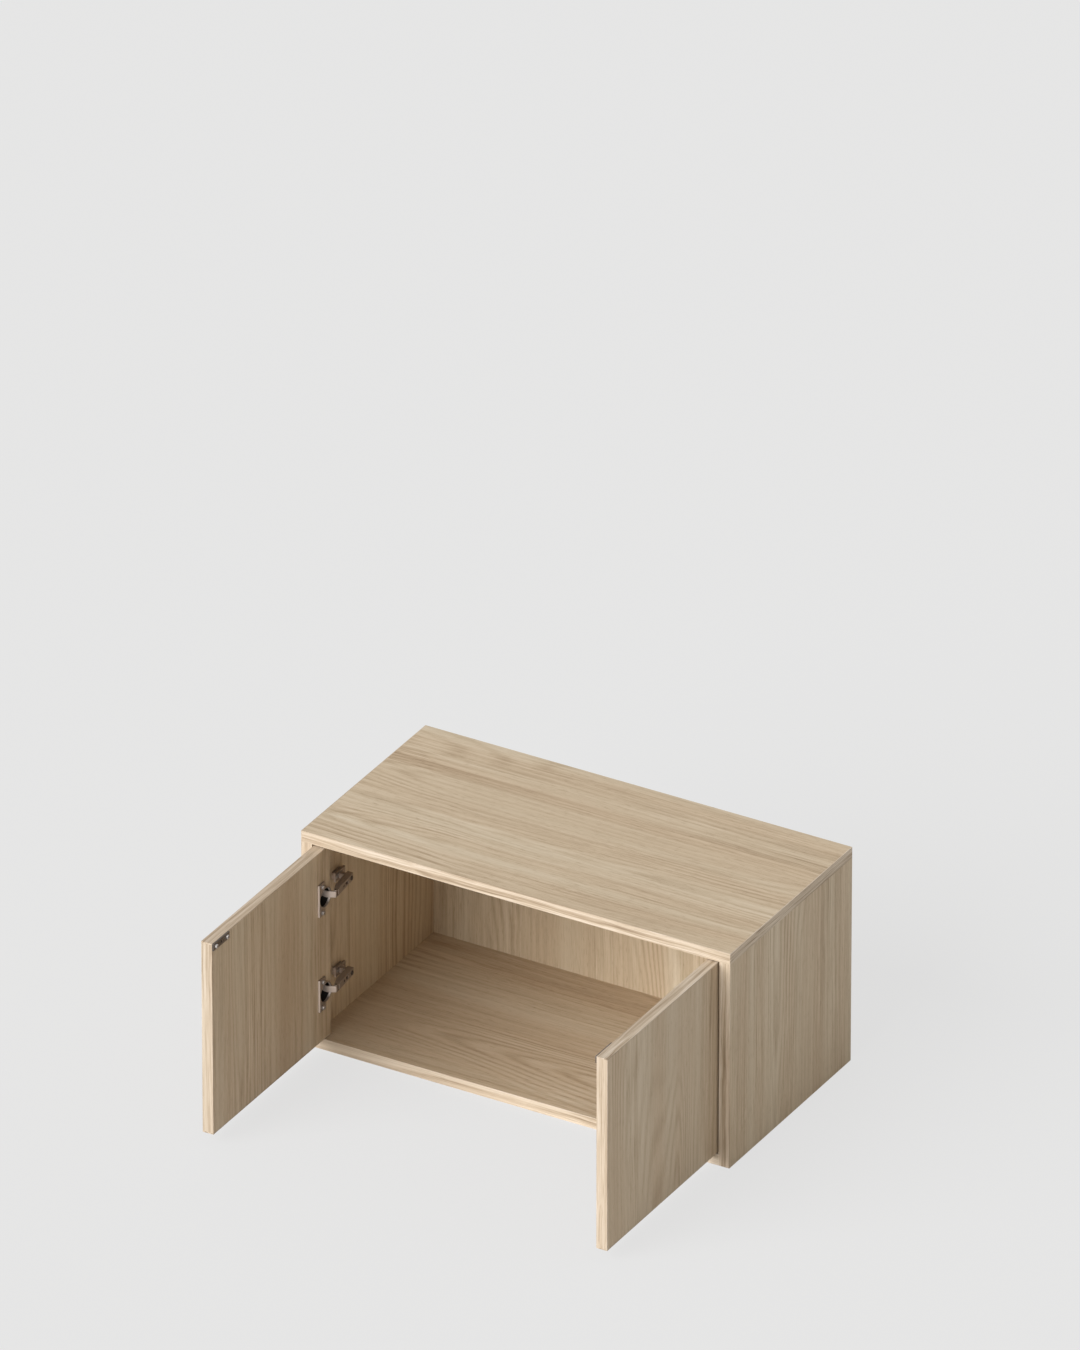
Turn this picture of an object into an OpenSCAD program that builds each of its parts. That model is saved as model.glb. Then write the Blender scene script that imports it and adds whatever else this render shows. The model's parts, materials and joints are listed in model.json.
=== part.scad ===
// Low cabinet with two inset doors on concealed hinges, drawn with both doors open at a right angle.
// Frame: origin at the centre of the underside, X across, doors face -Y, Z up. Millimetres.

/* [Carcass] */
// Overall width
body_w = 800; // [600:10:1000]
// Overall depth of the carcass
body_d = 400; // [320:10:500]
// Overall height
body_h = 400; // [340:10:500]
// Thickness of the top, bottom and side boards
board = 20; // [18:0.5:22]
// Thickness of the back panel
back_t = 8; // [6:0.5:9]
// Depth of the rebate that takes the back panel, from the rear edge
rebate_d = 10; // [10:0.5:12]
// How far the rebate cuts into each board
rebate_w = 8; // [6:0.5:10]
// Gap round the back panel inside its rebate
back_gap = 0.5; // [0.2:0.1:1]
// Thickness of the edging on the carcass boards
band_t = 1; // [0.5:0.1:1.5]

/* [Doors] */
// Thickness of a door, edging included
door_t = 20; // [18:0.5:20]
// Gap between a door's hinge edge and the side board, shut or open
side_gap = 3; // [3:0.25:5]
// Gap between the two shut doors
centre_gap = 3; // [2.5:0.25:5]
// Gap above and below a door
end_gap = 2; // [1.5:0.25:4]
// How far the hinge edge stands behind the carcass front when the door is open
hinge_setback = 19.5; // [19.5:0.25:20.5]
// Thickness of the door's edging, which also rounds its hinge edge
door_band = 2; // [2:0.1:2.5]

/* [Hinges] */
// Height of a hinge's middle from the nearest end of the door
hinge_inset = 89; // [60:1:110]
// Radius of the hinge cup's bore in the door
cup_r = 17.5; // [17:0.1:18]
// Depth of the cup's bore
cup_depth = 15.6; // [15.6:0.1:16]
// Wood left between the cup's bore and the door's hinge edge
cup_edge = 4; // [4:0.25:5]
// Wall of the pressed cup
cup_wall = 0.8; // [0.6:0.1:0.9]
// Thickness of the flange that lies on the door
flange_t = 3.5; // [2.5:0.1:4]
// Length of the flange along the door's height
flange_l = 60; // [58:1:66]
// Distance between the two flange screws
flange_screws = 48; // [46:0.5:50]
// Distance of the flange screws beyond the cup's centre
flange_screw_off = 9.5; // [9:0.25:11]
// Pivot on the arm, from the side board's inner face
arm_pivot_x = 33; // [32.5:0.25:33.5]
// Pivot on the arm, behind the carcass front
arm_pivot_y = 19; // [18.5:0.25:19.5]
// How far the cup pivot stands off the door's own turning point
pivot_drop = 2.4; // [2:0.1:2.6]
// Outer height of the arm's channel
arm_h = 13; // [12.5:0.25:14]
// Depth of the arm's channel
arm_deep = 11; // [10:0.25:13]
// Sheet thickness of the arm
arm_t = 1.5; // [1.2:0.1:1.7]
// Rear end of the arm, behind the carcass front
arm_end = 81; // [79:0.5:84]
// Height of the link between arm and cup
link_h = 11.5; // [10.5:0.25:11.5]
// Thickness of the link
link_t = 2.5; // [2:0.1:2.6]
// Radius of the arm's pivot pin
arm_pin_r = 1.5; // [1.3:0.05:1.6]
// Radius of the cup's pivot pin
cup_pin_r = 1.25; // [1:0.05:1.3]
// Running clearance round a pivot pin
pin_gap = 0.05; // [0.03:0.01:0.08]
// How far the mounting plate stands off the side board
plate_t = 9; // [8:0.5:10]
// Height of the mounting plate
plate_h = 17; // [15:0.5:20]
// Front end of the mounting plate, behind the carcass front
plate_front = 60; // [59:0.5:61]
// Length of the mounting plate
plate_l = 31; // [30:0.5:34]
// Distance between the two plate screws
plate_screws = 15.5; // [15.5:0.25:17]
// Length of the block that lifts the arm off the plate
riser_l = 7; // [6:0.25:7]

/* [Latches] */
// Length of the strike plate
strike_l = 51; // [44:1:56]
// Height of the strike plate
strike_h = 12.8; // [12:0.2:14]
// Thickness of the strike plate
strike_t = 2.5; // [1.5:0.1:3]
// Distance of the strike plate from the door's free edge and top
strike_in = 0.5; // [0.25:0.25:3]
// Distance between the strike plate's screws
strike_screws = 34.5; // [32:0.5:38]
// Width of the latch housing
latch_w = 24; // [18:0.5:26]
// Distance of a latch's middle from the cabinet's middle
latch_off = 22; // [21:0.25:24]
// Length of the latch housing
latch_l = 66; // [60:1:80]
// Travel of the latch plunger when pressed
latch_travel = 2.5; // [1.5:0.25:3]
// Gap between the latch's tip and the shut door's strike plate
latch_gap = 0.3; // [0.2:0.05:0.5]
// Radius of the magnet at the plunger's tip
tip_r = 4.2; // [3.5:0.1:4.8]
// Radius of the plunger's rod
rod_r = 3; // [2.5:0.1:3.4]

/* [Fasteners] */
// Radius of a wooden dowel
dowel_r = 4; // [3:0.25:4.5]
// Length of a wooden dowel
dowel_l = 35; // [30:1:40]
// How deep a dowel goes into the board whose face it meets
dowel_in = 12; // [10:0.5:13]
// Radius of a wood screw's shank
screw_r = 2; // [1.6:0.1:2.2]
// Radius of a wood screw's head
screw_head_r = 3.8; // [3.4:0.1:4]
// Height of a wood screw's head
screw_head_h = 2.4; // [1.8:0.1:2.8]
// Height of the taller heads that stand on flange and strike plate
cup_head_h = 3.6; // [2.8:0.1:4]
// Length of a wood screw in the wood
screw_l = 11; // [9:0.5:12]
// Clearance round a shank or dowel in its bore
fit = 0.05; // [0.03:0.01:0.1]

/* [Hidden] */
$fn = 64;

oak = "BurlyWood";
oak_edge = "Wheat";
steel = "Silver";
dark_steel = "DimGray";
beech = "Tan";
grey_plastic = "Gray";
eps = 0.01;
over = 1;

// Planes of the carcass
side_in = -body_w / 2 + board;
front_y = -body_d / 2;
rear_y = body_d / 2;
back_in = rear_y - rebate_d;
floor_z = board;
ceiling_z = body_h - board;

// The open left door
door_w = (body_w - 2 * board - 2 * side_gap - centre_gap) / 2;
door_h = body_h - 2 * board - 2 * end_gap;
door_out = side_in + side_gap;
door_in = door_out + door_t;
door_hinge_y = front_y + hinge_setback;
door_free_y = door_hinge_y - door_w;
door_low = floor_z + end_gap;
door_high = door_low + door_h;
hinge_zs = [door_low + hinge_inset, door_high - hinge_inset];

// Turning point of the whole swing, then the cup pivot that the link can reach shut and open
turn = [door_out + hinge_setback / 2, front_y + hinge_setback / 2];
arm_pivot = [side_in + arm_pivot_x, front_y + arm_pivot_y];
lean = (arm_pivot[1] - turn[1]) / (arm_pivot[0] - turn[0]);
cup_pivot = [turn[0] - pivot_drop, turn[1] + pivot_drop * (1 - lean) / (1 + lean)];

// Hinge cup
cup_y = door_hinge_y - cup_edge - cup_r;
cup_in_r = cup_r - fit - cup_wall;
flange_lip = 1.5;
flange_front = cup_y - cup_r - flange_lip;
flange_back = cup_y;
rim_w = 1.1;
flange_r = cup_r + rim_w;
flange_corner = 1.5;
pin_reach = sqrt(pow(cup_in_r, 2) - pow(cup_pivot[1] - cup_y + cup_pin_r, 2)) - fit;

// Arm: its room face runs straight from the front lug to the rear end
lug_r = 3;
lug_back = 3;
arm_lift = 30;
arm_face_front = [arm_pivot[0] + lug_r, arm_pivot[1] + lug_back];
arm_face_rear = [side_in + arm_lift, front_y + arm_end];
arm_slope = (arm_face_front[0] - arm_face_rear[0]) / (arm_face_rear[1] - arm_face_front[1]);
arm_turn = atan(arm_slope);
web_in = 6;
web_front = arm_pivot[1] + web_in;
slot_in = 56.5;
slot_y = front_y + slot_in;
adjuster_in = 45;
adjuster_y = front_y + adjuster_in;
fixing_l = 9;
adjuster_l = 6;
adjuster_proud = 0.4;
adjuster_slot = [8, 5];
web_run = 11;
low_head_h = 1.4;
pin_proud = 0.3;
function arm_face(y) = arm_face_rear[0] + (arm_face_rear[1] - y) * arm_slope;

// Link: a strip that leaves the cup's mouth and runs in front of the arm's pivot, with an eye on its back
bend_step = [-11, -10.4];
end_step = [3, -3.73];
foot_step = [2, -4.2];
link_bend = arm_pivot + bend_step;
link_end = arm_pivot + end_step;
link_foot = arm_pivot + foot_step;
link_play = 0.2;
link_eye_h = arm_h - 2 * arm_t - 2 * link_play;
link_eye_r = 2.8;
eye_web = 3;
eye_wall = 0.6;
cup_eye_r = cup_pin_r + pin_gap + eye_wall;

// One plate screw stands on each side of the riser, with its head in a round recess
plate_screw_in = 6.25;
plate_screw_ys = [for (k = [0, 1]) front_y + plate_front + plate_screw_in + k * plate_screws];
fixing_y = (plate_screw_ys[0] + plate_screw_ys[1]) / 2;
plate_foot_t = 5;
plate_foot_in = 3;
plate_foot_h = 12;
recess_r = screw_head_r + 0.5;
recess_d = 2;

// Strike plate on the open door, and the latch it meets when the door shuts
strike_y = door_free_y + strike_in + strike_l / 2;
strike_z = door_high - strike_in - strike_h / 2;
strike_corner = 1;
latch_x = -latch_off;
latch_tip_y = front_y + door_t + strike_t + latch_gap;
tip_l = 3;
latch_clear = 0.7;
latch_front = latch_tip_y + tip_l + latch_travel + latch_clear;
latch_floor = 6.7;
latch_low = strike_z - rod_r - latch_floor;
rod_l = 40;
spring_gap = 0.1;
spring_wire = 0.6;
spring_l = 8;
latch_bore_end = latch_tip_y + tip_l + rod_l + latch_travel + spring_gap + spring_l;
ear_reach = 7;
ear_t = 3;
ear_l = 40;
ear_y = latch_front + latch_l / 2;
latch_screw_x = latch_w / 2 + ear_reach / 2;
ear_screw_in = 8;

dowel_from_edge = 50;
dowel_ys = [for (i = [-1:1]) i * (body_d / 2 - dowel_from_edge)];
dowel_gap = 0.5;
back_screw_r = 1.5;
back_head_r = 2.8;
back_head_h = 1.2;
back_screw_l = 9;
back_screw_in = 70;

// Shapes that repeat

module block(x0, x1, y0, y1, z0, z1) {
    translate([x0, y0, z0]) cube([x1 - x0, y1 - y0, z1 - z0]);
}

// A cylinder that starts at p and points along +X
module rod_x(p, r, l) {
    translate(p) rotate([0, 90, 0]) cylinder(r = r, h = l);
}

// A cylinder that starts at p and points along +Y
module rod_y(p, r, l) {
    translate(p) rotate([-90, 0, 0]) cylinder(r = r, h = l);
}

module rounded_rect(w, h, r) {
    translate([r, 0]) square([w - 2 * r, h]);
    translate([0, r]) square([w, h - 2 * r]);
    for (x = [r, w - r], y = [r, h - r]) translate([x, y]) circle(r = r);
}

// Unit vector square to the way from p to q, to its left
function side_of(p, q) = [p[1] - q[1], q[0] - p[0]] / norm(q - p);

// Where the edge of a bent strip turns, w to the left of its middle line
function strip_corner(p, q, r, w) =
    let (a = side_of(p, q), b = side_of(q, r)) q + w * (a + b) / (1 + a * b);

// A flat strip w wide along a line of points, with mitred bends and square ends
module bent_strip(points, w) {
    last = len(points) - 1;
    function edge(side) = [
        for (i = [0:last])
            i == 0 ? points[0] + side * side_of(points[0], points[1])
            : i == last ? points[last] + side * side_of(points[last - 1], points[last])
            : strip_corner(points[i - 1], points[i], points[i + 1], side)
    ];
    back = edge(-w / 2);
    polygon(concat(edge(w / 2), [for (i = [last:-1:0]) back[i]]));
}

// A flat outline in X and Y, centred on height z
module slab(z, h) {
    translate([0, 0, z - h / 2]) linear_extrude(h) children();
}

// Wood screw along +X with its head at p and its shank into -X
module wood_screw_x(p, through, head_h = screw_head_h) {
    rod_x(p, screw_head_r, head_h);
    rod_x([p[0] - through - screw_l, p[1], p[2]], screw_r, through + screw_l + eps);
}

module wood_screw_bore_x(p, depth) {
    rod_x([p[0] - depth, p[1], p[2]], screw_r + fit, depth + over);
}

module right() {
    mirror([1, 0, 0]) children();
}

// Carcass

module rebate_cut() {
    block(side_in - rebate_w, -side_in + rebate_w, back_in, rear_y + over,
          floor_z - rebate_w, ceiling_z + rebate_w);
}

module back_screw_places() {
    edge_x = -side_in + rebate_w / 2;
    for (x = [-edge_x, edge_x], k = [-1:1])
        translate([x, 0, body_h / 2 + k * (body_h / 2 - back_screw_in)]) children();
    for (z = [floor_z - rebate_w / 2, ceiling_z + rebate_w / 2], k = [-1:1])
        translate([k * (body_w / 2 - 2 * back_screw_in), 0, z]) children();
}

module back_screw_bores() {
    back_screw_places()
        rod_y([0, back_in - back_screw_l, 0], back_screw_r + fit, back_screw_l + rebate_d + over);
}

module top_dowels(gap, extra) {
    for (x = [side_in - board / 2, -side_in + board / 2], y = dowel_ys)
        translate([x, y, ceiling_z + dowel_in - dowel_l - extra])
            cylinder(r = dowel_r + gap, h = dowel_l + 2 * extra);
}

module bottom_dowels(gap, extra) {
    for (y = dowel_ys) {
        rod_x([side_in - dowel_in - extra, y, board / 2], dowel_r + gap, dowel_l + 2 * extra);
        rod_x([-side_in + dowel_in - dowel_l - extra, y, board / 2], dowel_r + gap, dowel_l + 2 * extra);
    }
}

module top_panel() {
    color(oak) difference() {
        block(-body_w / 2 + band_t, body_w / 2 - band_t, front_y + band_t, rear_y, ceiling_z, body_h);
        rebate_cut();
        top_dowels(fit, dowel_gap);
        back_screw_bores();
        latch_screw_bores();
        right() latch_screw_bores();
    }
}

module bottom_panel() {
    color(oak) difference() {
        block(side_in, -side_in, front_y + band_t, rear_y, 0, floor_z);
        rebate_cut();
        bottom_dowels(fit, dowel_gap);
        back_screw_bores();
    }
}

module left_side_panel() {
    color(oak) difference() {
        block(-body_w / 2, side_in, front_y + band_t, rear_y, 0, ceiling_z);
        rebate_cut();
        top_dowels(fit, dowel_gap);
        bottom_dowels(fit, dowel_gap);
        back_screw_bores();
        for (z = hinge_zs, y = plate_screw_ys) wood_screw_bore_x([side_in, y, z], screw_l + dowel_gap);
    }
}

module back_panel() {
    color(oak) difference() {
        block(side_in - rebate_w + back_gap, -side_in + rebate_w - back_gap, back_in, back_in + back_t,
              floor_z - rebate_w + back_gap, ceiling_z + rebate_w - back_gap);
        back_screw_bores();
    }
}

module carcass_edging() {
    color(oak_edge) {
        block(-body_w / 2, body_w / 2, front_y, front_y + band_t, ceiling_z, body_h);
        for (s = [0, 1]) mirror([s, 0, 0]) {
            block(-body_w / 2, -body_w / 2 + band_t, front_y + band_t, rear_y, ceiling_z, body_h);
            block(-body_w / 2, side_in, front_y, front_y + band_t, 0, ceiling_z);
        }
        block(side_in, -side_in, front_y, front_y + band_t, 0, floor_z);
    }
}

module carcass_dowels() {
    color(beech) {
        top_dowels(0, 0);
        bottom_dowels(0, 0);
    }
}

module back_screws() {
    color(steel) back_screw_places() {
        rod_y([0, back_in - back_screw_l + dowel_gap, 0], back_screw_r, back_screw_l + back_t);
        rod_y([0, back_in + back_t, 0], back_head_r, back_head_h);
    }
}

// Door and its fittings, left side

module door_panel() {
    color(oak) difference() {
        block(door_out, door_in, door_free_y + door_band, door_hinge_y - door_band,
              door_low + door_band, door_high - door_band);
        for (z = hinge_zs) {
            rod_x([door_in - cup_depth, cup_y, z], cup_r, cup_depth + over);
            for (s = [-1, 1])
                wood_screw_bore_x([door_in, cup_y - flange_screw_off, z + s * flange_screws / 2],
                                  screw_l + dowel_gap);
        }
        for (s = [-1, 1])
            wood_screw_bore_x([door_in, strike_y + s * strike_screws / 2, strike_z], screw_l + dowel_gap);
    }
}

// The door's outline in X and Y, rounded along its hinge edge
module door_plan() {
    difference() {
        translate([door_out, door_free_y]) square([door_t, door_w]);
        translate([door_out - over, door_hinge_y - door_band])
            square([door_t + 2 * over, door_band + over]);
    }
    translate([door_out + door_band, door_hinge_y - 2 * door_band])
        square([door_t - 2 * door_band, 2 * door_band]);
    for (x = [door_out + door_band, door_in - door_band])
        translate([x, door_hinge_y - door_band]) circle(r = door_band);
}

module door_edging() {
    color(oak_edge) difference() {
        translate([0, 0, door_low]) linear_extrude(door_h) door_plan();
        block(door_out - over, door_in + over, door_free_y + door_band, door_hinge_y - door_band,
              door_low + door_band, door_high - door_band);
    }
}

module hinge_cup(z) {
    color(steel) difference() {
        union() {
            rod_x([door_in - cup_depth + 2 * fit, cup_y, z], cup_r - fit, cup_depth - 2 * fit);
            translate([door_in, 0, z]) rotate([90, 0, 90]) linear_extrude(flange_t) intersection() {
                union() {
                    translate([flange_front, -flange_l / 2])
                        rounded_rect(flange_back - flange_front, flange_l, flange_corner);
                    translate([cup_y, 0]) circle(r = flange_r);
                }
                translate([flange_front, -flange_l]) square([4 * cup_r, 2 * flange_l]);
            }
        }
        rod_x([door_in - cup_depth + 2 * fit + cup_wall, cup_y, z], cup_in_r, cup_depth + 2 * flange_t);
        for (s = [-1, 1])
            rod_x([door_in - over, cup_y - flange_screw_off, z + s * flange_screws / 2],
                  screw_r + fit, flange_t + 2 * over);
    }
}

module cup_pins() {
    color(dark_steel) for (z = hinge_zs)
        translate([cup_pivot[0], cup_pivot[1], z - pin_reach]) cylinder(r = cup_pin_r, h = 2 * pin_reach);
}

module arm_pins() {
    color(dark_steel) for (z = hinge_zs)
        translate([arm_pivot[0], arm_pivot[1], z - arm_h / 2 - pin_proud])
            cylinder(r = arm_pin_r, h = arm_h + 2 * pin_proud);
}

module hinge_link(z) {
    color(steel) difference() {
        union() {
            slab(z, link_eye_h) {
                translate(arm_pivot) circle(r = link_eye_r);
                bent_strip([arm_pivot, link_foot], eye_web);
            }
            slab(z, link_h) {
                bent_strip([link_end, link_bend, cup_pivot], link_t);
                translate(cup_pivot) circle(r = cup_eye_r);
            }
        }
        translate([arm_pivot[0], arm_pivot[1], z - arm_h]) cylinder(r = arm_pin_r + pin_gap, h = 2 * arm_h);
        translate([cup_pivot[0], cup_pivot[1], z - arm_h]) cylinder(r = cup_pin_r + pin_gap, h = 2 * arm_h);
    }
}

module hinge_arm(z) {
    color(steel) difference() {
        slab(z, arm_h) {
            polygon([
                arm_face_rear,
                arm_face_rear - [arm_deep, 0],
                [arm_face(web_front + web_run) - arm_deep, web_front + web_run],
                arm_pivot - [lug_r, 0],
                arm_pivot + [lug_r, 0],
                arm_face_front
            ]);
            translate(arm_pivot) circle(r = lug_r);
        }
        slab(z, arm_h - 2 * arm_t) polygon([
            [arm_face(arm_face_rear[1] + over) - arm_t, arm_face_rear[1] + over],
            [side_in, arm_face_rear[1] + over],
            [side_in, front_y],
            [side_in + 2 * arm_pivot_x, front_y],
            [side_in + 2 * arm_pivot_x, web_front],
            [arm_face(web_front) - arm_t, web_front]
        ]);
        translate([arm_pivot[0], arm_pivot[1], z - arm_h]) cylinder(r = arm_pin_r + fit, h = 2 * arm_h);
        // adjusting slot and the two screw holes in the web
        translate([arm_face(slot_y), slot_y, z])
            cube([6 * arm_t, adjuster_slot[0], adjuster_slot[1]], center = true);
        arm_axis(fixing_y, z) cylinder(r = screw_r + fit, h = 6 * arm_t, center = true);
        arm_axis(adjuster_y, z) cylinder(r = screw_r + fit, h = 6 * arm_t, center = true);
    }
}

// Places its children on the arm's room face at y, with +Z pointing into the room
module arm_axis(y, z) {
    translate([arm_face(y), y, z]) rotate([0, 0, arm_turn]) rotate([0, 90, 0]) children();
}

module mounting_plate(z) {
    room_face = side_in + plate_t;
    riser_y = [fixing_y - riser_l / 2, fixing_y + riser_l / 2];
    color(steel) difference() {
        union() {
            block(side_in, side_in + plate_foot_t + over, front_y + plate_front + plate_foot_in,
                  front_y + plate_front + plate_l - plate_foot_in,
                  z - plate_foot_h / 2, z + plate_foot_h / 2);
            block(side_in + plate_foot_t, room_face, front_y + plate_front, front_y + plate_front + plate_l,
                  z - plate_h / 2, z + plate_h / 2);
            slab(z, arm_h - 2 * arm_t - 2 * fit) polygon([
                [room_face - over, riser_y[0]],
                [arm_face(riser_y[0]) - arm_t, riser_y[0]],
                [arm_face(riser_y[1]) - arm_t, riser_y[1]],
                [room_face - over, riser_y[1]]
            ]);
        }
        for (y = plate_screw_ys) {
            rod_x([side_in - over, y, z], screw_r + fit, plate_t + 2 * over);
            rod_x([room_face - recess_d, y, z], recess_r, recess_d + over);
        }
        arm_axis(fixing_y, z) translate([0, 0, -fixing_l - dowel_gap])
            cylinder(r = screw_r + fit, h = fixing_l + over);
    }
}

module cup_screws() {
    color(steel) for (z = hinge_zs, s = [-1, 1])
        wood_screw_x([door_in + flange_t, cup_y - flange_screw_off, z + s * flange_screws / 2],
                     flange_t, cup_head_h);
}

module plate_screws() {
    color(steel) for (z = hinge_zs, y = plate_screw_ys)
        wood_screw_x([side_in + plate_t - recess_d, y, z], plate_t - recess_d);
}

module arm_screws() {
    color(dark_steel) for (z = hinge_zs) arm_axis(fixing_y, z) {
        cylinder(r = screw_head_r, h = low_head_h);
        translate([0, 0, -fixing_l]) cylinder(r = screw_r, h = fixing_l + eps);
    }
}

module adjusting_screws() {
    color(dark_steel) for (z = hinge_zs) arm_axis(adjuster_y, z)
        translate([0, 0, -adjuster_l]) cylinder(r = screw_r, h = adjuster_l + adjuster_proud);
}

module strike_plate() {
    color(steel) difference() {
        translate([door_in, strike_y - strike_l / 2, strike_z - strike_h / 2]) rotate([90, 0, 90])
            linear_extrude(strike_t) rounded_rect(strike_l, strike_h, strike_corner);
        for (s = [-1, 1])
            rod_x([door_in - over, strike_y + s * strike_screws / 2, strike_z],
                  screw_r + fit, strike_t + 2 * over);
        rod_x([door_in - over, strike_y, strike_z], tip_r / 2, strike_t + 2 * over);
    }
}

module strike_screws() {
    color(steel) for (s = [-1, 1])
        wood_screw_x([door_in + strike_t, strike_y + s * strike_screws / 2, strike_z],
                     strike_t, cup_head_h);
}

// Touch latch under the top, left side

module latch_screw_spots() {
    for (s = [-1, 1], k = [-1, 1])
        translate([latch_x + s * latch_screw_x, ear_y + k * (ear_l / 2 - ear_screw_in), 0]) children();
}

module latch_screw_bores() {
    latch_screw_spots() translate([0, 0, ceiling_z - over])
        cylinder(r = back_screw_r + fit, h = screw_l + dowel_gap + over);
}

module latch_housing() {
    color(grey_plastic) difference() {
        union() {
            block(latch_x - latch_w / 2, latch_x + latch_w / 2, latch_front, latch_front + latch_l,
                  latch_low, ceiling_z);
            block(latch_x - latch_w / 2 - ear_reach, latch_x + latch_w / 2 + ear_reach,
                  ear_y - ear_l / 2, ear_y + ear_l / 2, ceiling_z - ear_t, ceiling_z);
        }
        rod_y([latch_x, latch_front - over, strike_z],
              rod_r + fit, latch_bore_end - latch_front + over);
        latch_screw_spots() translate([0, 0, ceiling_z - 2 * ear_t])
            cylinder(r = back_screw_r + fit, h = 3 * ear_t);
    }
}

module latch_plunger() {
    color("WhiteSmoke") rod_y([latch_x, latch_tip_y + tip_l, strike_z], rod_r, rod_l);
}

module latch_magnet() {
    color(dark_steel) rod_y([latch_x, latch_tip_y, strike_z], tip_r, tip_l);
}

module latch_spring() {
    color(steel) difference() {
        rod_y([latch_x, latch_bore_end - spring_l, strike_z], rod_r - spring_gap, spring_l);
        rod_y([latch_x, latch_bore_end - spring_l - over, strike_z],
              rod_r - spring_gap - spring_wire, spring_l + 2 * over);
    }
}

module latch_screws() {
    color(steel) latch_screw_spots() {
        translate([0, 0, ceiling_z - ear_t - back_head_h]) cylinder(r = back_head_r, h = back_head_h);
        translate([0, 0, ceiling_z - ear_t - eps]) cylinder(r = back_screw_r, h = ear_t + screw_l + eps);
    }
}

top_panel();
bottom_panel();
left_side_panel();
right() left_side_panel();  // right_side_panel
back_panel();
carcass_edging();
carcass_dowels();
back_screws();
door_panel();  // left_door_panel
door_edging();  // left_door_edging
hinge_cup(hinge_zs[1]);  // left_upper_hinge_cup
hinge_cup(hinge_zs[0]);  // left_lower_hinge_cup
hinge_link(hinge_zs[1]);  // left_upper_hinge_link
hinge_link(hinge_zs[0]);  // left_lower_hinge_link
hinge_arm(hinge_zs[1]);  // left_upper_hinge_arm
hinge_arm(hinge_zs[0]);  // left_lower_hinge_arm
mounting_plate(hinge_zs[1]);  // left_upper_mounting_plate
mounting_plate(hinge_zs[0]);  // left_lower_mounting_plate
cup_pins();  // left_cup_pins
arm_pins();  // left_arm_pins
cup_screws();  // left_cup_screws
plate_screws();  // left_plate_screws
arm_screws();  // left_arm_screws
adjusting_screws();  // left_adjusting_screws
strike_plate();  // left_strike_plate
strike_screws();  // left_strike_screws
latch_housing();  // left_latch_housing
latch_plunger();  // left_latch_plunger
latch_magnet();  // left_latch_magnet
latch_spring();  // left_latch_spring
latch_screws();  // left_latch_screws
right() door_panel();  // right_door_panel
right() door_edging();  // right_door_edging
right() hinge_cup(hinge_zs[1]);  // right_upper_hinge_cup
right() hinge_cup(hinge_zs[0]);  // right_lower_hinge_cup
right() hinge_link(hinge_zs[1]);  // right_upper_hinge_link
right() hinge_link(hinge_zs[0]);  // right_lower_hinge_link
right() hinge_arm(hinge_zs[1]);  // right_upper_hinge_arm
right() hinge_arm(hinge_zs[0]);  // right_lower_hinge_arm
right() mounting_plate(hinge_zs[1]);  // right_upper_mounting_plate
right() mounting_plate(hinge_zs[0]);  // right_lower_mounting_plate
right() cup_pins();  // right_cup_pins
right() arm_pins();  // right_arm_pins
right() cup_screws();  // right_cup_screws
right() plate_screws();  // right_plate_screws
right() arm_screws();  // right_arm_screws
right() adjusting_screws();  // right_adjusting_screws
right() strike_plate();  // right_strike_plate
right() strike_screws();  // right_strike_screws
right() latch_housing();  // right_latch_housing
right() latch_plunger();  // right_latch_plunger
right() latch_magnet();  // right_latch_magnet
right() latch_spring();  // right_latch_spring
right() latch_screws();  // right_latch_screws
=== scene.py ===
# %% [markdown]
# # A low oak cabinet with its two doors open
#
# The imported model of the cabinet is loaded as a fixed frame. Its boards have the right
# shape already, so they only get their finish here. The small metal and plastic fittings
# are shaped again with softer edges, real screw heads and a coiled spring.

# %% Load the frame
import json
from math import pi, radians

import bpy
from mathutils import Matrix, Vector

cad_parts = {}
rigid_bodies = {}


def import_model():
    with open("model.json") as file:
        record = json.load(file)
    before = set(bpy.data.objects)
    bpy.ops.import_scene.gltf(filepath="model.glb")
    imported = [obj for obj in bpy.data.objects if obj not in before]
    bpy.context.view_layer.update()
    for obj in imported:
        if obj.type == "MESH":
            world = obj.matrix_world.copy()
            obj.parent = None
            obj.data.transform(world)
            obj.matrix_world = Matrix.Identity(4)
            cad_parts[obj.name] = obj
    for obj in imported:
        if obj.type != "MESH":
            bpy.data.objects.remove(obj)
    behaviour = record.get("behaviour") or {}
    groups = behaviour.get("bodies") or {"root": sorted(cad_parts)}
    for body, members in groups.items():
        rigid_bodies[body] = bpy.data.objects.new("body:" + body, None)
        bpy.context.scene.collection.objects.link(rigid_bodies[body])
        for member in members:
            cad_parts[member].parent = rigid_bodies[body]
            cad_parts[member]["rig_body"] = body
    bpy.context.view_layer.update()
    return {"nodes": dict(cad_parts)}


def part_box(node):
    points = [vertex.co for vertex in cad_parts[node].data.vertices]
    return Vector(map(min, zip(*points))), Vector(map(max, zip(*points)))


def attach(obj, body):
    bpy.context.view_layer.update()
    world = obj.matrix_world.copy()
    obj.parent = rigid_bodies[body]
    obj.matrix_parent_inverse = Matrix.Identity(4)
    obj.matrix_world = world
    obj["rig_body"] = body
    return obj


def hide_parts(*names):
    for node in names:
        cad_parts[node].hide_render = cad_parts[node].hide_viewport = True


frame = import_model()
nodes = frame["nodes"]
MM = 0.001
print("pieces in the frame:", len(nodes))

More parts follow.
